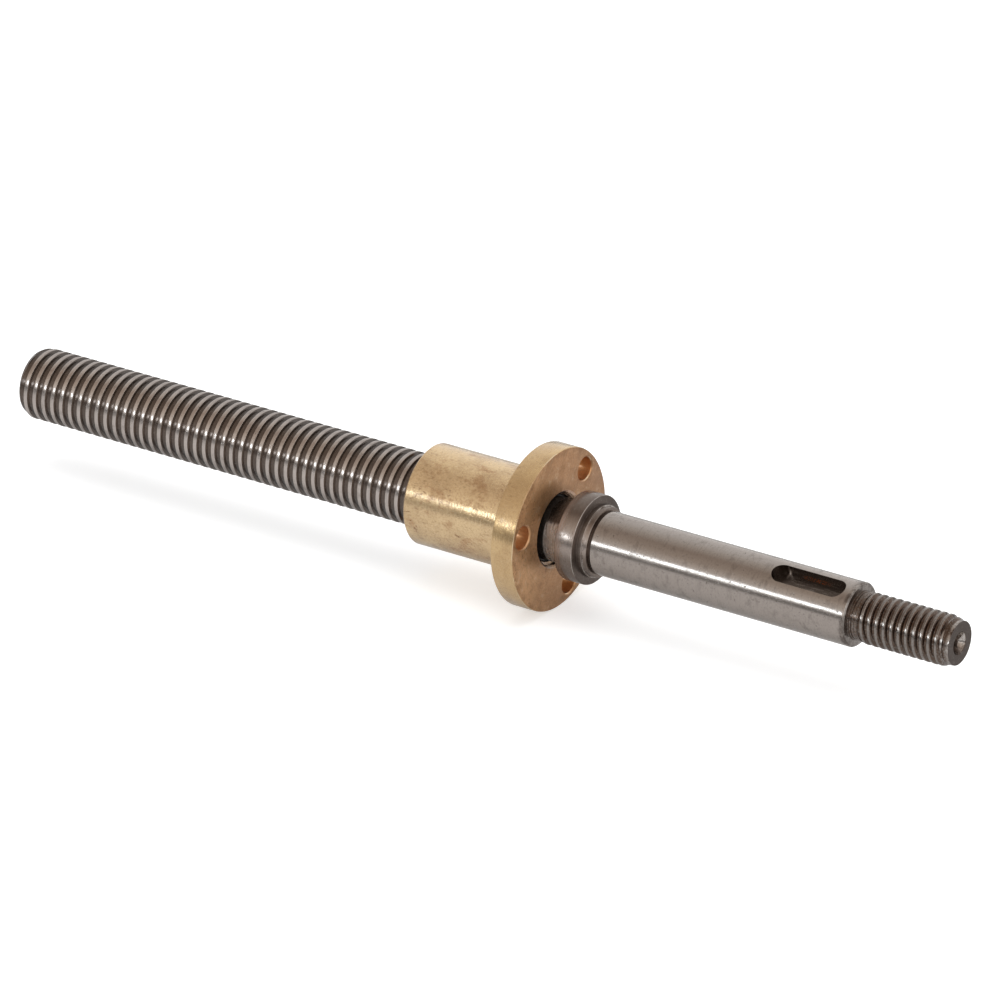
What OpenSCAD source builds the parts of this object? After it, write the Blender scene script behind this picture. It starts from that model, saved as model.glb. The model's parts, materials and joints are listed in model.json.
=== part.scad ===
// Lead screw with its flanged nut.
// A steel screw turned from one bar: a long left-hand trapezoidal thread, a plain neck, a thrust
// collar with a stepped bearing shoulder, a keyed journal and a threaded end for a clamping nut.
// A bronze nut turned in one piece with its flange runs on the long thread.
// The screw's axis is X. X = 0 is the bearing shoulder, where the journal begins, and +X points
// to the keyed end.

/* [Long thread] */
// Outside diameter of the long thread
thread_d = 20; // [17:0.5:23]
// Pitch of the long thread, which has one start
thread_pitch = 3; // [2.5:0.25:4]
// Radial depth of the long thread
thread_depth = 1.5; // [0.8:0.1:1.5]
// Angle between the two flanks of the long thread
thread_flank_angle = 30; // [20:1:34]
// Share of the pitch that the flat crest takes
thread_crest_share = 0.366; // [0.3:0.01:0.4]
// Length of the long thread
thread_len = 169; // [120:1:260]
// Chamfer at both ends of the long thread
thread_chamfer = 0.95; // [0.4:0.05:1.2]
// Turn of the thread about the axis, which sets where its crest meets the free end
thread_turn = 148; // [0:1:359]

/* [Neck and collar] */
// Diameter of the plain neck between the thread and the collar
neck_d = 17.5; // [12:0.1:17.6]
// Length of the plain neck
neck_len = 8.7; // [7:0.1:20]
// Diameter of the thrust collar
collar_d = 24.6; // [22:0.1:32]
// Width of the thrust collar
collar_w = 5.5; // [3:0.1:12]
// Chamfer on the collar's rims
collar_chamfer = 0.35; // [0.1:0.05:0.8]
// Diameter of the first step of the bearing shoulder
step_d = 20; // [19.6:0.1:21]
// Width of the first step
step_w = 1.5; // [0.5:0.1:4]
// Diameter of the second step, which a bearing's inner ring seats on
shoulder_d = 19.2; // [18.6:0.1:19.5]
// Width of the second step
shoulder_w = 1.3; // [0.5:0.1:4]

/* [Journal] */
// Diameter of the journal
journal_d = 17.5; // [15:0.1:18.2]
// Length of the journal from the bearing shoulder
journal_len = 79; // [50:1:120]
// Chamfer at the journal's outer end
journal_chamfer = 0.5; // [0.2:0.05:0.8]
// Width of the undercut beside the bearing shoulder
undercut_w = 0.6; // [0.3:0.1:1]
// Depth of the undercut
undercut_depth = 0.2; // [0.1:0.05:0.3]

/* [Keyway] */
// Width of the keyway
key_w = 6; // [4:0.5:6]
// Length of the keyway from end to end
key_len = 22; // [12:1:36]
// Depth of the keyway below the top of the journal
key_depth = 3.5; // [2:0.1:4]
// Distance from the keyway to the journal's outer end
key_gap = 2.8; // [1.5:0.1:8]
// Angle from +Z to the keyway, towards -Y
key_angle = 24; // [0:1:180]

/* [Threaded end] */
// Outside diameter of the threaded end
end_d = 13.8; // [12:0.1:14.4]
// Pitch of the end thread
end_pitch = 2.25; // [1.5:0.25:2.25]
// Radial depth of the end thread
end_depth = 1.25; // [0.8:0.05:1.3]
// Share of the pitch that the end thread's crest takes
end_crest_share = 0.14; // [0.1:0.01:0.2]
// Share of the pitch that each of the end thread's flanks takes
end_flank_share = 0.33; // [0.25:0.01:0.38]
// Length of the threaded end with its plain part
end_len = 30; // [20:1:50]
// Diameter of the plain part behind the end thread
end_plain_d = 13.3; // [11.5:0.1:13.4]
// Length of the plain part
end_plain_len = 3; // [1.5:0.1:6]
// Step from the plain part down to the start of the end thread, along the radius
end_step = 0.2; // [0.1:0.05:0.4]
// Length over which the end thread grows to its full depth
end_runout = 4.5; // [2:0.1:6]
// Chamfer at the tip
end_chamfer = 0.9; // [0.4:0.05:1.2]

/* [Centre holes] */
// Mouth diameter of the centre hole in each end
centre_mouth_d = 6.4; // [4:0.1:8]
// Diameter of the pilot hole at the bottom of each centre hole
centre_pilot_d = 2.8; // [1.5:0.1:3.5]
// Depth of the pilot hole below its cone
centre_pilot_len = 2.6; // [1:0.1:6]

/* [Flanged nut] */
// Diameter of the nut's barrel
barrel_d = 28; // [26:0.5:32]
// Length of the barrel behind the flange
barrel_len = 34; // [20:1:50]
// Chamfer at the barrel's rear end
barrel_chamfer = 0.6; // [0.2:0.1:1.5]
// Diameter of the flange
flange_d = 45.2; // [44:0.1:60]
// Thickness of the flange
flange_t = 7; // [4:0.1:12]
// Chamfer on the flange's rims
flange_chamfer = 0.3; // [0.1:0.05:1]
// Radial clearance between the nut's bore and the crest of the long thread
nut_clearance = 0.05; // [0.02:0.01:0.09]
// Countersink at each mouth of the bore, measured along the radius
mouth_chamfer = 0.75; // [0.3:0.05:1]
// Number of screw holes in the flange
hole_count = 3; // [3:1:6]
// Diameter of the screw holes
hole_d = 6.6; // [4:0.1:7]
// Diameter of the circle that the screw holes lie on
hole_circle_d = 36; // [35:0.1:37.4]
// Chamfer at both ends of the screw holes
hole_chamfer = 0.35; // [0.1:0.05:0.5]
// Angle from +Z to the first screw hole, towards -Y
hole_angle = 76; // [0:1:359]
// Gap between the flange and the collar where the nut rests
nut_gap = 6.3; // [0:0.1:40]

/* [Finish] */
// Flat sides in each turn of a thread
thread_sides = 20; // [12:4:24]
// Segments in a full circle
$fn = 96; // [48:16:128]

/* [Hidden] */

// Stations along the axis, from the free end to the tip.
collar_front = -shoulder_w - step_w;
collar_back = collar_front - collar_w;
thread_end = collar_back - neck_len;
free_end = thread_end - thread_len;
end_thread_start = journal_len + end_plain_len;
tip = journal_len + end_len;
flange_front = collar_back - nut_gap;
flange_back = flange_front - flange_t;
barrel_back = flange_back - barrel_len;

thread_flank_w = thread_depth * tan(thread_flank_angle / 2);
thread_crest_w = thread_crest_share * thread_pitch;
end_flank_w = end_flank_share * end_pitch;
end_crest_w = end_crest_share * end_pitch;
end_start_r = end_plain_d / 2 - end_step;
journal_r = journal_d / 2;
nut_bore_r = thread_d / 2 + nut_clearance;
centre_cone_len = (centre_mouth_d - centre_pilot_d) / 2 / tan(30);
overlap = 1;

// A point on the cylinder of radius r at station x, turned by angle a from +Y towards +Z.
function round_point(x, r, a) = [x, r * cos(a), r * sin(a)];

// Radius of a thread's section at a distance from the middle of its crest.
function section_r(away, major_r, depth, crest_w, flank_w) =
    major_r - depth * min(1, max(0, (away - crest_w / 2) / flank_w));

// A threaded bar from x0 to x1, as one skin of strips that wind along the helix.
// hand is 1 for a right-hand thread and -1 for a left-hand one, and turn is an angle in degrees.
// The chamfers c0 and c1 cut the crest down at the two ends. Over the run-out from x0 on, the
// groove deepens to its full depth from the radius plain_r.
module threaded_bar(x0, x1, major_r, depth, pitch, crest_w, flank_w,
                    hand, turn, c0, c1, plain_r = 0, runout = 1) {
    corners = [[-crest_w / 2, 0], [crest_w / 2, 0],
               [crest_w / 2 + flank_w, 1], [pitch - crest_w / 2 - flank_w, 1]];
    count = len(corners);
    rows = count * (ceil((x1 - x0) / pitch) + 5);
    sides = thread_sides;

    function crest_x(row, col) =
        x0 + pitch * (floor(row / count) - 2 - (hand * turn / 360 - floor(hand * turn / 360))
                      + (hand > 0 ? col / sides - 1 : 1 - col / sides));
    function row_x(row, col) = crest_x(row, col) + corners[row % count][0];
    function limit_r(x) = min(major_r, major_r - c0 + x - x0, major_r - c1 + x1 - x);
    function groove_r(x) = max(major_r - depth, plain_r - (x - x0) * depth / runout);
    function skin_r(x, r) = min(limit_r(x), max(r, groove_r(x)));
    function end_r(x, col) =
        let (turns = (x - crest_x(0, col)) / pitch, away = abs(turns - round(turns)) * pitch)
        skin_r(x, section_r(away, major_r, depth, crest_w, flank_w));
    function first_row(col) = max([for (row = [0:rows]) if (row_x(row, col) <= x0) row]);
    function last_row(col) = min([for (row = [0:rows]) if (row_x(row, col) >= x1) row]);

    first = [for (col = [0:sides - 1]) first_row(col)];
    last = [for (col = [0:sides - 1]) last_row(col)];
    points = [for (col = [0:sides - 1], row = [0:rows])
        let (x = max(x0, min(x1, row_x(row, col))),
             r = x == x0 || x == x1 ? end_r(x, col)
                                    : skin_r(x, major_r - depth * corners[row % count][1]))
        round_point(x, r, 360 * col / sides)];

    // Rows that lie past an end share the one point of their column there, and the last column
    // meets the first one a pitch further on.
    function kept(row, col) = max(first[col], min(last[col], row));
    function at(row, col) =
        let (c = col % sides, r = col < sides ? row : row + hand * count)
        c * (rows + 1) + kept(r, c);
    function distinct(face) = face[0] != face[1] && face[1] != face[2] && face[2] != face[0];

    skin = [for (col = [0:sides - 1], row = [-count:rows + count - 1])
        let (a = at(row, col), b = at(row + 1, col), c = at(row + 1, col + 1), d = at(row, col + 1))
        each [for (face = [[a, b, c], [a, c, d]]) if (distinct(face)) face]];
    back_cap = [for (col = [sides - 1:-1:0]) at(-count, col)];
    front_cap = [for (col = [0:sides - 1]) at(rows + count, col)];
    polyhedron(points = points, faces = concat(skin, [back_cap, front_cap]), convexity = 10);
}

// Turns a section drawn as [station, radius] points about the X axis.
module turned(section) {
    rotate([0, 90, 0]) rotate_extrude() polygon([for (p = section) [p[1], p[0]]]);
}

// The turned part of the screw, from the end of the long thread to the start of the end thread.
module turned_middle() {
    neck_r = neck_d / 2;
    collar_r = collar_d / 2;
    undercut_r = journal_r - undercut_depth;
    turned([
        [thread_end, 0], [thread_end, neck_r], [collar_back, neck_r],
        [collar_back, collar_r - collar_chamfer], [collar_back + collar_chamfer, collar_r],
        [collar_front - collar_chamfer, collar_r], [collar_front, collar_r - collar_chamfer],
        [collar_front, step_d / 2], [collar_front + step_w, step_d / 2],
        [collar_front + step_w, shoulder_d / 2], [0, shoulder_d / 2],
        [0, undercut_r], [undercut_w, undercut_r], [undercut_w + undercut_depth, journal_r],
        [journal_len - journal_chamfer, journal_r],
        [journal_len, journal_r - journal_chamfer],
        [journal_len, end_plain_d / 2], [end_thread_start, end_plain_d / 2], [end_thread_start, 0]
    ]);
}

// A milled slot with round ends, sunk into the journal.
module keyway() {
    key_end = journal_len - key_gap;
    floor_r = journal_r - key_depth;
    rotate([key_angle, 0, 0]) translate([0, 0, floor_r]) {
        for (x = [key_end - key_len + key_w / 2, key_end - key_w / 2])
            translate([x, 0, 0]) cylinder(d = key_w, h = key_depth + overlap);
        translate([key_end - key_len + key_w / 2, -key_w / 2, 0])
            cube([key_len - key_w, key_w, key_depth + overlap]);
    }
}

// A 60 degree centre hole that opens at x. side is 1 where it opens towards +X and -1 towards -X.
module centre_hole(x, side) {
    mouth_r = centre_mouth_d / 2;
    pilot_r = centre_pilot_d / 2;
    spread = overlap * tan(30);
    turned([
        [x + side * overlap, 0], [x + side * overlap, mouth_r + spread],
        [x - side * centre_cone_len, pilot_r],
        [x - side * (centre_cone_len + centre_pilot_len), pilot_r],
        [x - side * (centre_cone_len + centre_pilot_len), 0]
    ]);
}

module lead_screw() {
    color("#8d8580")
    difference() {
        union() {
            threaded_bar(free_end, thread_end, thread_d / 2, thread_depth, thread_pitch,
                         thread_crest_w, thread_flank_w, -1, thread_turn,
                         thread_chamfer, thread_chamfer);
            turned_middle();
            threaded_bar(end_thread_start, tip, end_d / 2, end_depth, end_pitch,
                         end_crest_w, end_flank_w, 1, 0, end_d / 2 - end_start_r,
                         end_chamfer, end_start_r, end_runout);
        }
        keyway();
        centre_hole(free_end, -1);
        centre_hole(tip, 1);
    }
}

// One screw hole through the flange, with a chamfer at each end.
module flange_hole() {
    r = hole_d / 2;
    spread = hole_chamfer + overlap;
    turned([
        [flange_back - overlap, 0], [flange_back - overlap, r + spread],
        [flange_back + hole_chamfer, r], [flange_front - hole_chamfer, r],
        [flange_front + overlap, r + spread], [flange_front + overlap, 0]
    ]);
}

module flange_nut() {
    barrel_r = barrel_d / 2;
    flange_r = flange_d / 2;
    color("#b08d57")
    difference() {
        turned([
            [barrel_back, nut_bore_r + mouth_chamfer], [barrel_back, barrel_r - barrel_chamfer],
            [barrel_back + barrel_chamfer, barrel_r], [flange_back, barrel_r],
            [flange_back, flange_r - flange_chamfer], [flange_back + flange_chamfer, flange_r],
            [flange_front - flange_chamfer, flange_r], [flange_front, flange_r - flange_chamfer],
            [flange_front, nut_bore_r + mouth_chamfer],
            [flange_front - mouth_chamfer, nut_bore_r], [barrel_back + mouth_chamfer, nut_bore_r]
        ]);
        for (i = [0:hole_count - 1])
            rotate([hole_angle + 360 * i / hole_count, 0, 0])
                translate([0, 0, hole_circle_d / 2]) flange_hole();
    }
}

lead_screw();
flange_nut();
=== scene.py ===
import json
import math

import bmesh
import bpy
from mathutils import Matrix, Vector


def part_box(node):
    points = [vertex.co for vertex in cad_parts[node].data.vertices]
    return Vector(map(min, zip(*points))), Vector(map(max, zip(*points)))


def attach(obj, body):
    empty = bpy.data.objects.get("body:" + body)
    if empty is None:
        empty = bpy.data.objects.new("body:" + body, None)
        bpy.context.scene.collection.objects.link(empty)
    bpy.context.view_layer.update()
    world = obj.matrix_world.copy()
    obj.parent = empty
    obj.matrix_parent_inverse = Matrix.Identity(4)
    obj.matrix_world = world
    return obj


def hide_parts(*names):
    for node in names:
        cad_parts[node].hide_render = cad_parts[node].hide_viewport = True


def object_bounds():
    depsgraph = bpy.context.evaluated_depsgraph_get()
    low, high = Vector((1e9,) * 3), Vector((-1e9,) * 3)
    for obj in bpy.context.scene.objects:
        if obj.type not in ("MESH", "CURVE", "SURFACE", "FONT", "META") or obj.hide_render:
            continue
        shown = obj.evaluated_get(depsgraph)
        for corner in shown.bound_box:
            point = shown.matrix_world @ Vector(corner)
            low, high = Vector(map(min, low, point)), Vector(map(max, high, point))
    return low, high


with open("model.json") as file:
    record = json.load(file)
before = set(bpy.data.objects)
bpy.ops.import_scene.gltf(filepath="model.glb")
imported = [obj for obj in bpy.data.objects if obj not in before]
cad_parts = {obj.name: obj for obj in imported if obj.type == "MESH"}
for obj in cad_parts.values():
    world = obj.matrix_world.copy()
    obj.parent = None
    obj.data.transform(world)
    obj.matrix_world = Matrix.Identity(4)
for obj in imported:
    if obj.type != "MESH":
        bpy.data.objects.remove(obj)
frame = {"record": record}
cad_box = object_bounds()

# ---------------------------------------------------------------------------------------------
# The lead screw: one bar of free-cutting steel, about 295 mm long. A long left-hand trapezoidal
# thread is cut on one end; the rest is turned down to a neck, a thrust collar with a stepped
# bearing shoulder, a journal and an end thread. A keyway is milled into the journal last.
# ---------------------------------------------------------------------------------------------
MM = 0.001
mounts = {mount["name"]: mount for mount in frame["record"]["mounts"]}
screw_low, screw_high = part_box("lead_screw")

# Lengths of its parts, in millimetres as all sizes here are.
thread_len = 169
neck_len = 8.7
collar_len = 5.5
step_len = 1.5
end_len = 30
plain_len = 3

# Stations along the axis, measured from the bearing shoulder.
free_end = screw_low.x / MM
thread_end = free_end + thread_len
collar_back = thread_end + neck_len
collar_front = collar_back + collar_len
step_front = collar_front + step_len
undercut_front = 0.6
tip = screw_high.x / MM
journal_end = tip - end_len
plain_end = journal_end + plain_len

# Radii, and the depths that they differ by.
thread_r = 10.0
neck_r = 8.75
collar_r = screw_high.z / MM
step_r = 10.0
shoulder_r = 9.6
journal_r = mounts["journal"]["dims"]["r_mm"]
journal_chamfer = 0.5
undercut_depth = 0.2
undercut_r = journal_r - undercut_depth
plain_r = 6.65
end_r = 6.9
end_relief = 0.2
end_start_r = plain_r - end_relief

# The centre hole in each end, a 60 degree cone with a pilot hole.
centre_mouth_r = 3.2
centre_pilot_r = 1.4
centre_cone = (centre_mouth_r - centre_pilot_r) / math.tan(math.radians(30))
centre_pilot = 2.6

# How far the turned blanks overlap before they are joined.
lap = 0.02


def rounded(outline, steps=2):
    """The outline of (station, radius, bend) corners, with an arc of radius bend at each of them."""
    line = []
    for i, (x, r, bend) in enumerate(outline):
        corner = Vector((x, r, 0))
        if not bend:
            line.append(corner)
            continue
        back = (Vector((*outline[i - 1][:2], 0)) - corner).normalized()
        onward = (Vector((*outline[i + 1][:2], 0)) - corner).normalized()
        half = back.angle(onward) / 2
        middle = corner + (back + onward).normalized() * bend / math.sin(half)
        start = corner + back * bend / math.tan(half) - middle
        end = corner + onward * bend / math.tan(half) - middle
        line += [middle + bend * start.slerp(end, step / steps) for step in range(steps + 1)]
    return line


def swept(line, steps, advance=0.0):
    """The line of (station, radius) points, swung once round the X axis while it moves on by advance."""
    bm = bmesh.new()
    points = [bm.verts.new((p.x, p.y, 0)) for p in line]
    edges = [bm.edges.new(pair) for pair in zip(points, points[1:])]
    bmesh.ops.spin(bm, geom=points + edges, cent=(0, 0, 0), axis=(1, 0, 0), angle=2 * math.pi,
                   dvec=(advance / steps, 0, 0), steps=steps, use_merge=not advance)
    bmesh.ops.remove_doubles(bm, verts=bm.verts, dist=0.003)
    return bm


def turned(outline, steps=144):
    """A solid of revolution, whose outline starts and ends on the axis."""
    bm = swept(rounded(outline, 3), steps)
    bmesh.ops.recalc_face_normals(bm, faces=bm.faces)
    return bm


def put(vert, x, r):
    """Moves a point to a station and a radius, at the angle that it has."""
    share = r / math.hypot(vert.co.y, vert.co.z)
    vert.co = (x, vert.co.y * share, vert.co.z * share)


def carried(bm, x, stations=()):
    """Carries the open rim at x on through (station, radius) stations, and closes it there."""
    rim = [edge for edge in bm.edges if edge.is_boundary and abs(edge.verts[0].co.x - x) < 0.01]
    for station, radius in stations:
        grown = bmesh.ops.extrude_edge_only(bm, edges=rim)["geom"]
        for vert in (part for part in grown if isinstance(part, bmesh.types.BMVert)):
            put(vert, station, radius)
        rim = [part for part in grown if isinstance(part, bmesh.types.BMEdge)]
    bmesh.ops.edgeloop_fill(bm, edges=rim)


def centre_drilled(bm, face, inward):
    """Closes the open rim at the station face with a centre hole. inward is 1 or -1, along X."""
    carried(bm, face, [(face, centre_mouth_r), (face + inward * centre_cone, centre_pilot_r),
                       (face + inward * centre_cone + inward * centre_pilot, centre_pilot_r)])


def tooth(crest, flank, high, depth, crest_bend, root_bend):
    """The corners of one thread tooth, from the root on one side to the root on the other."""
    return [(-crest / 2 - flank, high - depth, root_bend), (-crest / 2, high, crest_bend),
            (crest / 2, high, crest_bend), (crest / 2 + flank, high - depth, root_bend)]


def threaded(x0, x1, corners, pitch, hand, crest_at, held, cuts=(), steps=72):
    """A bar with a helical thread from x0 to x1, open at both ends. A tooth's corners are (distance
    from the crest's middle, radius, bend). held(x, r) gives the radius that is left after the
    chamfers and the run-out, and cuts are the stations where those start."""
    first = math.floor((x0 - crest_at) / pitch) - 2
    last = math.ceil((x1 - crest_at) / pitch) + 2
    outline = [(crest_at + pitch * k + away, r, bend)
               for k in range(first, last + 1) for away, r, bend in corners]
    outline[0] = (*outline[0][:2], 0)
    outline[-1] = (*outline[-1][:2], 0)
    bm = swept(rounded(outline), steps, hand * pitch)
    for x, outside in [(x0, -1), (x1, 1)] + [(x, 0) for x in cuts]:
        bmesh.ops.bisect_plane(bm, geom=bm.verts[:] + bm.edges[:] + bm.faces[:], dist=0.001,
                               plane_co=(x, 0, 0), plane_no=(outside or 1, 0, 0),
                               clear_outer=bool(outside))
    for vert in bm.verts:
        put(vert, vert.co.x, held(vert.co.x, math.hypot(vert.co.y, vert.co.z)))
    return bm


def piece(name, bm):
    """An object made of a bmesh in millimetres."""
    bmesh.ops.recalc_face_normals(bm, faces=bm.faces)
    bmesh.ops.scale(bm, vec=(MM, MM, MM), verts=bm.verts)
    made = bpy.data.objects.new(name, bpy.data.meshes.new(name))
    bm.to_mesh(made.data)
    bm.free()
    bpy.context.scene.collection.objects.link(made)
    return made


def worked(blank, tool, operation):
    """Joins a piece to the blank, or cuts it away from it, and uses it up."""
    step = blank.modifiers.new(operation, "BOOLEAN")
    step.operation = operation
    step.object = tool
    step.solver = "MANIFOLD"
    ready = blank.evaluated_get(bpy.context.evaluated_depsgraph_get())
    shaped = bpy.data.meshes.new_from_object(ready)
    blank.modifiers.clear()
    blank.data = shaped
    bpy.data.objects.remove(tool)


def finished(made, sharp=32):
    """Smooth faces, with a hard edge where two of them meet at more than the angle sharp."""
    made.data.shade_smooth()
    made.data.set_sharp_from_angle(angle=math.radians(sharp))


# The long thread is cut first, as one left-hand helix. Its flanks lean by 15 degrees, and a crest
# meets the free end at start_angle, in degrees from +Y towards +Z.
thread_pitch = 3.0
thread_depth = 0.8
thread_crest = 1.10
flank_slope = math.tan(math.radians(15))
thread_flank = thread_depth * flank_slope
thread_chamfer = 0.95
free_chamfer_len = 1.8
start_angle = 148
thread_start = free_end + thread_pitch * (start_angle / 360)


def long_thread_held(x, r):
    """The free end was dressed to a long flat chamfer, the other end to one at 45 degrees."""
    most = min(thread_r, thread_r - thread_chamfer * (1 - (x - free_end) / free_chamfer_len),
               thread_r - thread_chamfer + thread_end - x)
    return min(r, most)


long_thread = threaded(free_end, thread_end,
                       tooth(thread_crest, thread_flank, thread_r, thread_depth, 0.05, 0.12),
                       thread_pitch, -1, thread_start, long_thread_held,
                       [free_end + free_chamfer_len / 2, free_end + free_chamfer_len,
                        thread_end - thread_chamfer])
centre_drilled(long_thread, free_end, 1)
carried(long_thread, thread_end)

# The end thread is right-hand. Its tip is a blunt cone, in which the last of the groove is filled.
end_pitch = 2.25
end_depth = 0.95
end_crest = 0.62
end_flank = 0.53
end_runout = 4.5
end_chamfer = 0.9
tip_r = end_r - end_chamfer
blunt_len = 1
blunt_slope = 0.15
cone_slope = 0.31
filled_len = 2.7
filled_slope = 0.7


def end_thread_held(x, r):
    """The thread runs out towards the journal, and it fades into a blunt cone at the tip."""
    off = tip - x
    cone = max(tip_r + blunt_slope * off,
               tip_r + blunt_slope * blunt_len + cone_slope * (off - blunt_len))
    filled = min(tip_r, tip_r - filled_slope * (off - filled_len))
    least = max(end_r - end_depth, end_start_r - (x - plain_end) * end_depth / end_runout, filled)
    return min(end_r, end_start_r + x - plain_end, cone, max(r, least))


end_thread = threaded(plain_end - lap, tip,
                      tooth(end_crest, end_flank, end_r, end_depth, 0.06, 0.12),
                      end_pitch, 1, plain_end, end_thread_held,
                      [plain_end + 0.45, plain_end + 2]
                      + [tip - off for off in (3.2, filled_len, 2, blunt_len, blunt_len / 2)])
carried(end_thread, plain_end - lap)
centre_drilled(end_thread, tip, -1)

# Everything between the threads is turned to one outline, from the neck to the plain part, on which
# the tool left three shallow marks.
mark_pitch = 0.85
mark_depth = 0.11
middle = turned([
    (thread_end - lap, 0, 0), (thread_end - lap, neck_r, 0.1), (collar_back, neck_r, 0.15),
    (collar_back, collar_r, 0.15), (collar_front, collar_r, 0.28), (collar_front, step_r, 0.1),
    (step_front, step_r, 0.15), (step_front, shoulder_r, 0.06), (0, shoulder_r, 0.15),
    (0, undercut_r, 0), (undercut_front, undercut_r, 0),
    (undercut_front + undercut_depth, journal_r, 0),
    (undercut_front + 2 * undercut_depth, journal_r, 0),
    (journal_end - 2 * journal_chamfer, journal_r, 0), (journal_end - journal_chamfer, journal_r, 0.3),
    (journal_end, journal_r - journal_chamfer, 0.2), (journal_end, plain_r, 0.15)
] + [
    (journal_end + 0.55 + mark_pitch * mark + away, plain_r - depth, 0.05)
    for mark in range(3)
    for away, depth in ((0, 0), (0.18, mark_depth), (0.42, mark_depth), (0.6, 0))
] + [(plain_end, plain_r, 0.08), (plain_end, 0, 0)])

# The keyway is a slot with round ends, left by an end mill.
key_r = 3.0
key_len = 22.0
key_land = 2.8
key_depth = 3.5
key_end = journal_end - key_land
key_floor = journal_r - key_depth
key_angle = math.radians(24)
cutter_high = 6

keyway = bmesh.new()
bmesh.ops.create_circle(keyway, cap_ends=True, segments=46, radius=key_r)
for vert in keyway.verts:
    vert.co.x += math.copysign(key_len / 2 - key_r, vert.co.x)
raised = bmesh.ops.extrude_face_region(keyway, geom=keyway.faces[:])["geom"]
bmesh.ops.translate(keyway, vec=(0, 0, cutter_high),
                    verts=[part for part in raised if isinstance(part, bmesh.types.BMVert)])
bmesh.ops.translate(keyway, vec=(key_end - key_len / 2, 0, key_floor), verts=keyway.verts)
bmesh.ops.rotate(keyway, cent=(0, 0, 0), matrix=Matrix.Rotation(key_angle, 3, "X"), verts=keyway.verts)

screw = piece("screw", middle)
worked(screw, piece("long_thread", long_thread), "UNION")
worked(screw, piece("end_thread", end_thread), "UNION")
worked(screw, piece("keyway", keyway), "DIFFERENCE")
finished(screw)
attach(screw, "screw")
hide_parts("lead_screw")


class Shade:
    """A socket in a material's node tree. Arithmetic on it adds the Math nodes that it needs."""

    def __init__(self, tree, socket=None):
        self.tree = tree
        self.socket = socket

    def node(self, kind, settings=None, sockets=None, out=0):
        """Adds a node of that kind: its settings first, then the values or links of its sockets."""
        made = self.tree.nodes.new(kind)
        for name, value in (settings or {}).items():
            if name == "stops":
                while len(made.color_ramp.elements) < len(value):
                    made.color_ramp.elements.new(0.5)
                for element, (position, colour) in zip(made.color_ramp.elements, value):
                    element.position = position
                    element.color = colour
            else:
                setattr(made, name, value)
        for name, value in (sockets or {}).items():
            if isinstance(value, Shade):
                self.tree.links.new(value.socket, made.inputs[name])
            else:
                made.inputs[name].default_value = value
        return Shade(self.tree, made.outputs[out] if made.outputs else None)

    def math(self, operation, *others):
        return self.node("ShaderNodeMath", {"operation": operation}, dict(enumerate((self, *others))))

    def __add__(self, other):
        return self.math("ADD", other)

    def __sub__(self, other):
        return self.math("SUBTRACT", other)

    def __mul__(self, other):
        return self.math("MULTIPLY", other)

    def __rsub__(self, other):
        return self.math("MULTIPLY_ADD", -1, other)

    __radd__ = __add__
    __rmul__ = __mul__

    def fade(self, start, end):
        """0 as far as start and 1 from end on, with a soft change between them."""
        return self.node("ShaderNodeMapRange", {"interpolation_type": "SMOOTHSTEP"},
                         {"Value": self, "From Min": start, "From Max": end})

    def within(self, low, high, soft=0.05):
        """1 between low and high and 0 outside them, with soft edges."""
        return self.fade(low - soft, low + soft) * self.fade(high + soft, high - soft)

    def stretched(self, x, y, z):
        """A place scaled by a different number along each axis."""
        return self.node("ShaderNodeVectorMath", {"operation": "MULTIPLY"}, {0: self, 1: (x, y, z)})

    def noise(self, detail=3.0, roughness=0.5):
        """Cloudy noise, from 0 to 1, that changes over about 1 unit of the place."""
        return self.node("ShaderNodeTexNoise", {},
                         {"Vector": self, "Scale": 1.0, "Detail": detail, "Roughness": roughness})

    def mix(self, first, second, share):
        """The first colour where share is 0, and the second where it is 1."""
        return self.node("ShaderNodeMix", {"data_type": "RGBA"}, {0: share, 6: first, 7: second}, 2)

    def coated(self, base, coats):
        """The base colour under its coats, (colour, share) pairs that are laid on one by one."""
        for colour, share in coats:
            base = self.mix(base, colour, share)
        return base


def paint(red, green, blue):
    """A plain colour."""
    return (red, green, blue, 1)


def surface(name):
    """A new material: its shader node, the place on the piece in millimetres, and its parts."""
    made = bpy.data.materials.new(name)
    made.use_nodes = True
    shader = made.node_tree.nodes["Principled BSDF"]
    place = Shade(made.node_tree).node("ShaderNodeTexCoord", out=3).stretched(1 / MM, 1 / MM, 1 / MM)
    x, y, z = (place.node("ShaderNodeSeparateXYZ", {}, {0: place}, out) for out in range(3))
    return made, shader, place, x, y, z, (y * y + z * z).math("SQRT")


def feed(shader, height, varying):
    """Links what varies over a surface to its shader. The height of the relief is in millimetres."""
    relief = height.node("ShaderNodeBump", {}, {"Strength": 1.0, "Distance": MM, "Height": height})
    for name, value in {**varying, "Normal": relief}.items():
        value.tree.links.new(value.socket, shader.inputs[name])


# Bare turned steel, ground bright on the journal, with brown oil in the grooves and dirt where a rag
# doesn't reach. Shade is painted in the corners, in and past the nut and away from the front, and
# highlights on edges and at the front. The numbers of a pattern say how often it changes in a millimetre.
steel, shader, place, x, y, z, r = surface("turned_steel")
shader.inputs["Coat Roughness"].default_value = 0.18
grain = place.stretched(3.5, 0.2, 0.2).noise(2, 0.6)
scratches = place.stretched(2.6, 0.14, 0.14).noise(4, 0.65)
speckle = place.stretched(2.4, 2.0, 2.0).noise(3, 0.65)
blotches = place.stretched(0.45, 0.30, 0.30).noise(3, 0.55)
clouds = place.stretched(0.07, 0.07, 0.07).noise(2)
crumbs = place.stretched(1.1, 0.9, 0.9).noise(4, 0.7)
streaks = place.stretched(0.30, 2.4, 2.4).noise(3)

# at_front is 1 on the line that faces the front, and 0 a quarter turn away from it. It is used to
# paint shade away from the front and highlights at it.
front_y = 0.909
front_z = 0.416
at_front = (z * front_z - y * front_y).math("DIVIDE", r)

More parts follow.
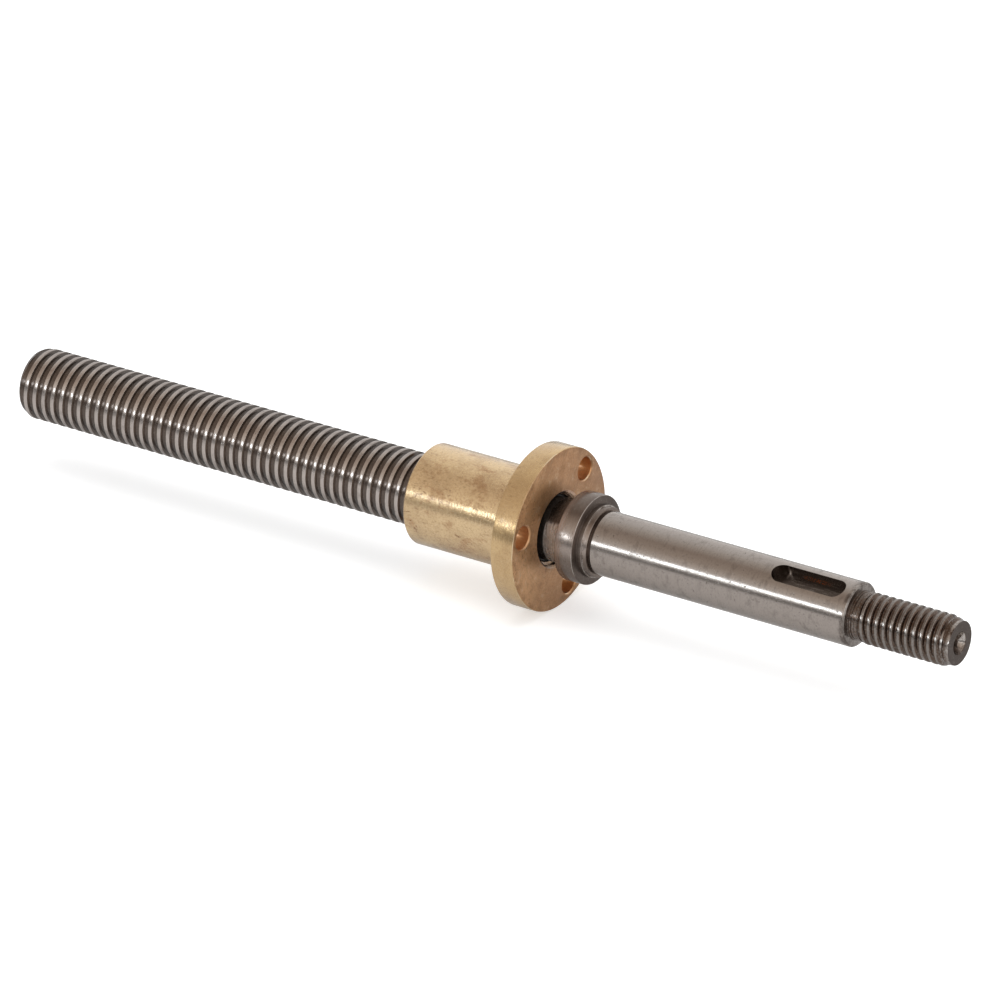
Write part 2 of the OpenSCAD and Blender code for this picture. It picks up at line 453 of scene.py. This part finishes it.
# The long thread, the neck and the collar.
on_thread = x.fade(thread_end + 0.05, thread_end - 0.05)
on_crest = on_thread * r.fade(thread_r - 0.10, thread_r - 0.02)
in_groove = on_thread * (1 - on_crest)
on_flank = on_thread * r.within(thread_r - thread_depth + 0.10, thread_r - 0.06, 0.04)
on_neck = x.within(thread_end, collar_back)
# Painted shade: black in and just past the nut's bore, and on the neck's top next to the nut.
past_nut = x.within(thread_end - 0.5, thread_end + 2.9, 0.15)
above_neck = on_neck * z.fade(4.5, 7.5) * x.fade(collar_back - 1, thread_end + 3.5)
on_collar = x.within(collar_back - 0.1, undercut_front)
behind_collar = on_collar * x.fade(collar_back + 2.2, collar_back + 0.8)
on_collar_face = (x.fade(collar_front - 0.10, collar_front - 0.02)
                  * x.fade(collar_front + 0.1, collar_front))

# The journal and the end thread.
on_journal = (x.within(undercut_front + 0.1, journal_end - 0.3)
              * r.fade(journal_r - 0.2, journal_r - 0.1))
on_end = x.fade(journal_end - 0.15, journal_end - 0.02)
past_journal = on_end * x.fade(journal_end + 0.02, journal_end + 0.1)
on_plain = x.within(journal_end, plain_end, 0.2)
on_end_crest = on_end * r.fade(end_r - 0.20, end_r - 0.04)
on_tip = x.fade(tip - 3.0, tip - 2.4)
on_tip_face = x.fade(tip - 0.06, tip - 0.02)
in_centre = r.fade(centre_mouth_r + 0.15, centre_mouth_r - 0.1) * x.fade(tip - 0.05, tip - 0.3)

# The keyway: across it, its floor, a painted glint at the end that the mill went in by, and rust on one
# wall.
in_key = x.within(key_end - key_len, key_end, 0.1) * r.fade(journal_r - 0.15, journal_r - 0.3)
across = y * math.cos(key_angle) + z * math.sin(key_angle)
upward = z * math.cos(key_angle) - y * math.sin(key_angle)
on_key_floor = in_key * upward.fade(key_floor + 0.25, key_floor + 0.1)
mill_x = key_end - key_len + key_r
painted_glint_at_mill_end = in_key * x.within(mill_x - 0.3, mill_x + 0.3, 0.3)
on_key_wall = in_key * x.within(key_end - 15, key_end - 7, 2) * across.within(2.4, 3.1, 0.15)
rusted = on_key_wall * r.fade(key_floor + 1.9, key_floor + 1.3) * speckle.fade(0.52, 0.57)

# Worn edges on the step, the collar and the tip, brightened as a painted highlight too.
worn_and_glinting_edge = (x.within(step_front - 0.10, step_front + 0.14) * r.within(shoulder_r - 0.15, step_r)
             + x.within(collar_front - 0.20, collar_front - 0.06) * r.fade(collar_r - 0.30, collar_r - 0.2)
             + on_tip * r.within(tip_r - 0.25, tip_r + 0.1, 0.1)
             ).math("MINIMUM", 1.0) * blotches.fade(0.38, 0.60)
# Grime and painted shade in the corners: the undercut, in front of the step, at the back of the collar and
# at the journal's end.
grime_and_shade_in_corners = (x.within(0.05, undercut_front) * r.fade(journal_r - 0.05, journal_r - 0.15)
             + x.within(collar_front + 0.02, step_front - 0.15) * r.fade(step_r + 0.3, step_r + 0.1) * 0.8
             + x.within(collar_back - 0.5, collar_back + 0.22)
             + x.within(journal_end - 1.3, journal_end + 0.2, 0.4) * blotches.fade(0.40, 0.60) * 0.8
             ).math("MINIMUM", 1.0)

turned_colour = paint(0.30, 0.268, 0.245)
ground_colour = paint(0.41, 0.36, 0.325)
crest_colour = paint(0.56, 0.495, 0.455)
groove_colour = paint(0.100, 0.068, 0.050)
painted_light_flank_colour = paint(0.23, 0.175, 0.142)
collar_colour = paint(0.42, 0.35, 0.308)
neck_colour = paint(0.48, 0.445, 0.415)
key_floor_colour = paint(0.10, 0.08, 0.068)
# Oil, grime and wear colours, which also serve for painted shade and painted highlights below. The black
# is painted shade only.
oil_and_shade_colour = paint(0.075, 0.050, 0.036)
shade_black_colour = paint(0.010, 0.007, 0.005)
grime_and_shade_colour = paint(0.07, 0.052, 0.042)
grit_colour = paint(0.15, 0.078, 0.042)
rust_colour = paint(0.36, 0.14, 0.06)
wear_and_highlight_colour = paint(0.66, 0.61, 0.57)

colour = place.coated(turned_colour, [
    (ground_colour, on_journal),
    (crest_colour, on_crest),
    # Painted shade: the crests are darker away from the front.
    (oil_and_shade_colour, on_crest * at_front.fade(0.80, 0.40) * 0.35),
    (groove_colour, in_groove),
    # Painted light: the flanks are lighter than the groove floor, except near the top.
    (painted_light_flank_colour, on_flank * z.fade(7, 4)),
    # Painted shade: the grooves are darker in a band on the upper side, and away from the front.
    (oil_and_shade_colour, in_groove * z.within(5.5, 9.0, 1.5) * 0.5),
    (shade_black_colour, in_groove * at_front.fade(0.92, 0.60) * 0.55),
    (collar_colour, on_collar),
    # Painted shade: the collar is darker away from the front.
    (oil_and_shade_colour, on_collar * at_front.fade(0.995, 0.84) * 0.62),
    (neck_colour, on_neck),
    # Painted shade on the neck's top, and a painted highlight on its front.
    (oil_and_shade_colour, on_neck * z.fade(2, 6) * 0.9),
    (wear_and_highlight_colour, on_neck * at_front.fade(0.96, 0.99) * grain.fade(0.35, 0.6)),
    # Painted shade where the nut and the flange shade the neck.
    (shade_black_colour, past_nut),
    (shade_black_colour, above_neck),
    (oil_and_shade_colour, on_end * (0.85 - 0.45 * on_end_crest - 0.35 * on_plain) * (1 - 0.20 * on_tip)),
    # The end thread is darker towards the top.
    (oil_and_shade_colour, on_end * z.fade(0.5, 4.0) * (0.70 - 0.35 * on_end_crest - 0.35 * on_plain)),
    (grit_colour, on_end * (1 - on_end_crest) * speckle.fade(0.46, 0.58) * 0.6),
    # Worn end-thread crests, with a painted highlight at the front.
    (wear_and_highlight_colour, on_end_crest * speckle.fade(0.40, 0.60) * (0.30 + 0.40 * at_front.fade(0.97, 0.995))),
    # The keyway is painted darker all over.
    (oil_and_shade_colour, in_key * 0.8),
    (key_floor_colour, on_key_floor),
    (turned_colour, on_key_floor * streaks.fade(0.50, 0.62) * 0.35),
    # Painted glint at the mill's end of the keyway.
    (wear_and_highlight_colour, painted_glint_at_mill_end * across.fade(0.6, 2.2) * 0.9),
    (rust_colour, rusted),
    (grime_and_shade_colour, grime_and_shade_in_corners * 0.8),
    # Grime on the collar's face, and painted shade on its back side.
    (grime_and_shade_colour, on_collar_face * (0.45 + 0.35 * y.fade(0, 8))),
    (wear_and_highlight_colour, worn_and_glinting_edge * 0.6),
    (grime_and_shade_colour, blotches.fade(0.52, 0.76) * 0.30),
    (grime_and_shade_colour, speckle.fade(0.54, 0.70) * (0.22 + 0.50 * on_end)),
    (wear_and_highlight_colour, speckle.fade(0.46, 0.30) * (0.10 + 0.15 * on_end + 0.15 * on_tip)),
    (grime_and_shade_colour, crumbs.fade(0.62, 0.70) * 0.6),
    (grime_and_shade_colour, scratches.fade(0.45, 0.25) * 0.25),
    # Painted shade on one side of the centre hole.
    (grime_and_shade_colour, in_centre * y.fade(1.6, 0.2) * 0.9),
    (grime_and_shade_colour, on_tip_face * (0.75 + 0.2 * speckle.fade(0.40, 0.55))),
    # Painted glints on the other side of the centre hole.
    (wear_and_highlight_colour, in_centre * y.fade(0.6, 2.0) * speckle.fade(0.38, 0.50) * 0.8)])
roughness = (0.28 - 0.11 * on_journal - 0.13 * on_crest - 0.14 * in_groove - 0.07 * on_collar
             - 0.08 * on_end + 0.3 * past_nut - 0.04 * on_end_crest + 0.15 * on_tip_face
             + 0.15 * on_collar_face + 0.12 * (blotches - 0.5) + 0.10 * (clouds - 0.5)
             + 0.15 * grime_and_shade_in_corners - 0.10 * in_centre)
bare = (1 - 0.35 * on_neck - 0.35 * in_groove - 0.25 * past_nut - 0.1 * on_tip_face
        - 0.4 * behind_collar)
oil_film = 0.6 * in_groove + 0.2 * past_journal * (1 - on_tip_face)
height = (grain * (0.016 + 0.11 * on_neck - 0.014 * on_crest)
          + 0.006 * scratches - 0.012 * speckle.fade(0.60, 0.72) - 0.02 * crumbs.fade(0.62, 0.70)
          + 0.010 * speckle * on_end)
feed(shader, height, {"Base Color": colour, "Roughness": roughness, "Metallic": bare,
                      "Coat Weight": oil_film})
screw.data.materials.clear()
screw.data.materials.append(steel)

# ---------------------------------------------------------------------------------------------
# The flanged nut: turned from one bar of leaded bronze, bored and tapped left-hand to run on the
# long thread. Three clearance holes for screws are drilled through the flange, 120 degrees apart.
# ---------------------------------------------------------------------------------------------
nut_low, nut_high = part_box("flange_nut")
hole_pattern = mounts["flange_holes"]["dims"]
barrel_back = nut_low.x / MM
flange_back = mounts["flange_back"]["pos_m"][0] / MM
flange_front = nut_high.x / MM
flange_r = nut_high.z / MM
barrel_r = mounts["nut_barrel"]["dims"]["r_mm"]
barrel_chamfer = 0.6
hole_r = hole_pattern["hole_r_mm"]
hole_chamfer = 0.35
hole_angle = math.radians(76)
mouth_r = 10.8
nut_crest_r = 9.35
nut_root_r = 10.15
flank_gap = 0.06
tap_flank = (nut_root_r - nut_crest_r) * flank_slope
tap_crest = thread_crest + 2 * flank_gap - 2 * (nut_root_r - thread_r) * flank_slope

# How far the cutting tools stand out of the work, and how far the countersink goes in.
tap_out = 2
sink_out = 1
sink_in = 3
drill_out = 1

blank = turned([
    (barrel_back, 0, 0), (barrel_back, barrel_r - barrel_chamfer, 0.1),
    (barrel_back + barrel_chamfer, barrel_r, 0.2), (barrel_back + 2 * barrel_chamfer, barrel_r, 0),
    (flange_back - 0.3, barrel_r, 0), (flange_back, barrel_r, 0.1), (flange_back, flange_r, 0.3),
    (flange_front, flange_r, 0.35), (flange_front, 0, 0)
])
tap_ends = (barrel_back - tap_out, flange_front + tap_out)
tap = threaded(*tap_ends,
               tooth(tap_crest, tap_flank, nut_root_r, nut_root_r - nut_crest_r, 0.1, 0.1),
               thread_pitch, -1, thread_start, lambda x, r: r)
for x in tap_ends:
    carried(tap, x)

nut = piece("nut", blank)
worked(nut, piece("tap", tap), "DIFFERENCE")
for x, inward in ((barrel_back, 1), (flange_front, -1)):
    sink = turned([(x - sink_out * inward, 0, 0), (x - sink_out * inward, mouth_r + sink_out, 0),
                   (x + sink_in * inward, mouth_r - sink_in, 0), (x + sink_in * inward, 0, 0)])
    worked(nut, piece("countersink", sink), "DIFFERENCE")
for i in range(hole_pattern["count"]):
    drill = turned([
        (flange_back - drill_out, 0, 0), (flange_back - drill_out, hole_r + hole_chamfer + drill_out, 0),
        (flange_back + hole_chamfer, hole_r, 0), (flange_front - hole_chamfer, hole_r, 0),
        (flange_front + drill_out, hole_r + hole_chamfer + drill_out, 0), (flange_front + drill_out, 0, 0)
    ], 48)
    bmesh.ops.translate(drill, vec=(0, 0, hole_pattern["pcd_mm"] / 2), verts=drill.verts)
    turn = Matrix.Rotation(hole_angle + 2 * math.pi * i / hole_pattern["count"], 3, "X")
    bmesh.ops.rotate(drill, cent=(0, 0, 0), verts=drill.verts, matrix=turn)
    worked(nut, piece("drill", drill), "DIFFERENCE")
finished(nut)
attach(nut, "nut")
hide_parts("flange_nut")

# Bronze: bright and yellow on the barrel and the rim, browner and duller on the faces, with fine
# rings from facing, soil, and marks where something rubbed. The front face is painted lighter towards
# the front and darker towards the back, the countersinks are painted shaded with a lit top, the bore
# is painted black as shade, and the edges get a painted highlight.
bronze, shader, place, x, y, z, r = surface("nut_bronze")
shader.inputs["Metallic"].default_value = 0.80
shader.inputs["Coat Roughness"].default_value = 0.12
grain = place.stretched(3.0, 0.15, 0.15).noise(2, 0.6)
facing = place.node("ShaderNodeCombineXYZ", {}, {0: r * 3.0, 1: y * 0.25, 2: z * 0.25}).noise(3, 0.6)
speckle = place.stretched(1.6, 1.8, 1.8).noise(4, 0.65)
soiled = place.stretched(0.09, 0.11, 0.11).noise(2).fade(0.42, 0.58)
flecks = place.stretched(0.65, 1.4, 1.4).noise(4, 0.7)
clouds = place.stretched(0.14, 0.14, 0.14).noise(3)
mottle = place.stretched(0.35, 0.35, 0.35).noise(6, 0.72)
stains = place.stretched(0.13, 0.22, 0.22).noise(5, 0.68)
aslant = place.node("ShaderNodeVectorRotate", {"rotation_type": "X_AXIS"}, {"Vector": place, "Angle": 0.7})
rubs = aslant.stretched(1.0, 3.5, 0.25).noise(3, 0.6)

on_front = x.fade(flange_front - 0.12, flange_front - 0.04)
on_back = x.fade(barrel_back + 0.1, barrel_back + 0.02)
on_rim = r.fade(barrel_r + 0.3, barrel_r + 0.5) * (1 - on_front)
near_rim = on_front * r.fade(flange_r - 2.6, flange_r - 0.6)
in_hole = x.within(flange_back + 0.1, flange_front - 0.1) * r.within(mouth_r + 1, flange_r - 1)
deep = x.within(barrel_back + 1.3, flange_front - 2.6, 0.7)
# The bore behind its mouths, which is painted black as shade.
in_bore = r.fade(nut_root_r + 0.4, nut_root_r + 0.2) * deep
in_mouth = r.fade(mouth_r + 0.05, mouth_r - 0.05) * (1 - deep)
# Worn edges on the flange's front and the holes, brightened as a painted highlight too.
worn_and_glinting_edge = (x.within(flange_front - 0.28, flange_front - 0.08) * r.fade(flange_r - 0.40, flange_r - 0.30)
             + x.within(flange_front - 0.40, flange_front - 0.10) * in_hole).math("MINIMUM", 1.0)

barrel_colour = paint(0.80, 0.58, 0.325)
rim_colour = paint(0.71, 0.49, 0.245)
face_colour = paint(0.50, 0.26, 0.118)
painted_light_face_colour = paint(0.74, 0.42, 0.205)
hole_colour = paint(0.62, 0.31, 0.13)
mouth_colour = paint(0.30, 0.17, 0.085)
lit_mouth_colour = paint(0.85, 0.56, 0.38)
bore_shade_colour = paint(0.012, 0.008, 0.006)
soil_and_shade_colour = paint(0.27, 0.13, 0.052)
stain_colour = paint(0.42, 0.20, 0.08)
bright_colour = paint(0.92, 0.78, 0.55)

colour = place.coated(barrel_colour, [
    (rim_colour, on_rim),
    (face_colour, on_front.math("MAXIMUM", on_back)),
    # Painted light on the front face towards the front, painted shade towards the back.
    (painted_light_face_colour, on_front * y.fade(2, -20) * 0.9),
    (soil_and_shade_colour, on_front * y.fade(4, 16) * 0.35),
    (hole_colour, in_hole),
    (soil_and_shade_colour, flecks.fade(0.55, 0.65) * soiled * (0.75 - 0.45 * on_rim)),
    (soil_and_shade_colour, soiled * 0.14),
    (stain_colour, stains.fade(0.52, 0.64) * (1 - on_rim) * (1 - on_front) * 0.45),
    (soil_and_shade_colour, speckle.fade(0.48, 0.68) * (0.30 - 0.12 * on_rim)),
    (soil_and_shade_colour, clouds.fade(0.45, 0.70) * 0.22),
    (bright_colour, speckle.fade(0.48, 0.28) * (0.24 - 0.12 * on_rim - 0.14 * on_front)),
    (soil_and_shade_colour, facing.fade(0.50, 0.68) * on_front * 0.22),
    (soil_and_shade_colour, mottle.fade(0.50, 0.66) * on_front * 0.32),
    (soil_and_shade_colour, mottle.fade(0.42, 0.56) * near_rim * 0.4),
    (bright_colour, mottle.fade(0.46, 0.30) * on_front * 0.22),
    (bright_colour, rubs.fade(0.56, 0.68) * on_front * 0.12),
    (bright_colour, worn_and_glinting_edge * clouds.fade(0.42, 0.60) * 0.5),
    # Painted shade: the countersinks dark, with painted light on their top, and the bore black.
    (mouth_colour, in_mouth),
    (lit_mouth_colour, in_mouth * z.fade(4, 8)),
    (bore_shade_colour, in_bore)])
roughness = (0.15 + 0.20 * on_front + 0.15 * in_hole + 0.35 * in_bore + 0.04 * (clouds - 0.5)
             + 0.20 * soiled * flecks + 0.15 * on_front * (mottle - 0.5))
oil_film = 0.5 * (1 - in_bore) * (1 - 0.6 * on_front)
height = (0.12 * grain * (1 - on_front) * (1 - in_hole)
          + 0.03 * facing * on_front - 0.008 * flecks.fade(0.58, 0.68) + 0.006 * speckle)
feed(shader, height, {"Base Color": colour, "Roughness": roughness, "Coat Weight": oil_film})
nut.data.materials.clear()
nut.data.materials.append(bronze)

# ---------------------------------------------------------------------------------------------
# The studio: a pale table under the flange, a soft box in front, a broad soft lamp overhead, and
# a plain room that is bright to the right and warmer and dimmer above. Sizes are in metres here.
# ---------------------------------------------------------------------------------------------
table = bmesh.new()
bmesh.ops.create_circle(table, cap_ends=True, segments=64, radius=8.0)
bmesh.ops.translate(table, vec=(0, 0, cad_box[0].z), verts=table.verts)
floor = bpy.data.objects.new("table", bpy.data.meshes.new("table"))
table.to_mesh(floor.data)
table.free()
bpy.context.scene.collection.objects.link(floor)

# The table looks white to the camera, with the bar's shadow on it, and grey where metal mirrors it.
top = bpy.data.materials.new("table_top")
top.use_nodes = True
top.node_tree.nodes.clear()
spot = Shade(top.node_tree).node("ShaderNodeTexCoord", out=3)
away = spot.node("ShaderNodeVectorMath", {"operation": "LENGTH"}, {0: spot}, 1)
camera_ray, glossy_ray, clear_ray = (spot.node("ShaderNodeLightPath", out=out) for out in (0, 3, 6))
lift = camera_ray.math("MAXIMUM", clear_ray) * (0.49 + 0.71 * away.fade(0.3, 0.9)) + glossy_ray * 0.22
tone = 0.82 - glossy_ray * (0.34 + 0.34 * away.fade(0.16, 0.40))
glow = spot.node("ShaderNodeEmission", {}, {"Strength": lift})
pale = spot.node("ShaderNodeBsdfDiffuse", {}, {"Color": tone})
both = spot.node("ShaderNodeAddShader", {}, {0: glow, 1: pale})
spot.node("ShaderNodeOutputMaterial", {}, {"Surface": both})
floor.data.materials.append(top)

# The walls change with their height round the bar: 0 is level in front, 0.5 is overhead, and 1 is
# level behind. The camera sees plain white instead.
softbox_spot = Vector((-1.50, -2.5, 0.78))
wall_stops = [
    (0.0, paint(0.09, 0.09, 0.09)), (0.02, paint(0.10, 0.10, 0.10)), (0.05, paint(0.30, 0.29, 0.28)),
    (0.18, paint(0.33, 0.30, 0.27)), (0.28, paint(0.28, 0.245, 0.215)),
    (0.44, paint(0.215, 0.18, 0.155)), (0.56, paint(0.31, 0.29, 0.27)),
    (0.72, paint(0.42, 0.42, 0.42)), (1.0, paint(0.5, 0.5, 0.5))]
room_strength = 2.0
white = paint(1 / room_strength, 1 / room_strength, 1 / room_strength)
room = bpy.data.worlds.new("room")
room.use_nodes = True
room.node_tree.nodes.clear()
way = Shade(room.node_tree).node("ShaderNodeTexCoord", out=0)
x, y, z = (way.node("ShaderNodeSeparateXYZ", {}, {0: way}, out) for out in range(3))
camera_ray, glossy_ray, clear_ray = (way.node("ShaderNodeLightPath", out=out) for out in (0, 3, 6))
height = z.math("ARCTAN2", y * -1) * (1 / math.pi)
walls = way.node("ShaderNodeValToRGB", {"stops": wall_stops}, {0: height})
near_softbox = way.node("ShaderNodeVectorMath", {"operation": "DOT_PRODUCT"},
                        {0: way, 1: softbox_spot.normalized()}, 1).fade(0.86, 0.99)
above_table = height.fade(0.05, 0.08)
to_right = x.fade(0.45, 0.80)
window = height.within(0.080, 0.115, 0.01) * x.fade(-0.30, -0.10) * 0.32
reflected = way.coated(walls, [
    (paint(0.6, 0.6, 0.6), to_right.math("MAXIMUM", near_softbox * above_table * 0.2)),
    (paint(1.0, 1.0, 1.0), window)])
seen = way.mix(paint(0.375, 0.375, 0.375), reflected, glossy_ray)
seen = way.mix(seen, white, camera_ray.math("MAXIMUM", clear_ray))
glow = way.node("ShaderNodeBackground", {}, {"Color": seen, "Strength": room_strength})
way.node("ShaderNodeOutputWorld", {}, {"Surface": glow})
bpy.context.scene.world = room


def lamp(name, spot, long, short, strength, colour):
    """A rectangular soft lamp that faces the object, with its long side level."""
    light = bpy.data.lights.new(name, "AREA")
    light.shape = "RECTANGLE"
    light.size = long
    light.size_y = short
    light.energy = strength * math.pi * long * short
    light.color = colour
    made = bpy.data.objects.new(name, light)
    made.location = spot
    made.rotation_euler = (-spot).to_track_quat("-Z", "Y").to_euler()
    made.visible_camera = False
    bpy.context.scene.collection.objects.link(made)
    return made


lamp("softbox", softbox_spot, 0.90, 0.38, 4.8, (0.87, 1.0, 1.10))
above = lamp("soft_top", Vector((0.1, 0.1, 1.6)), 1.6, 1.6, 1.75, (1, 1, 1))
above.visible_glossy = False

# ---------------------------------------------------------------------------------------------
# The camera: a long lens, above the keyed end and to the front.
# ---------------------------------------------------------------------------------------------
azimuth = math.radians(33.6)
elevation = math.radians(25.23)
distance = 2.2523
aim = Vector((-0.0259, -0.0114, 0.0102))
back = Vector((math.sin(azimuth) * math.cos(elevation), -math.cos(azimuth) * math.cos(elevation),
               math.sin(elevation)))
lens = bpy.data.cameras.new("camera")
lens.lens = 306.5
lens.sensor_width = 36
lens.clip_end = 100
camera = bpy.data.objects.new("camera", lens)
camera.location = aim + back * distance
camera.rotation_euler = (-back).to_track_quat("-Z", "Y").to_euler()
bpy.context.scene.collection.objects.link(camera)
bpy.context.scene.camera = camera
bpy.context.scene.view_settings.view_transform = "Standard"
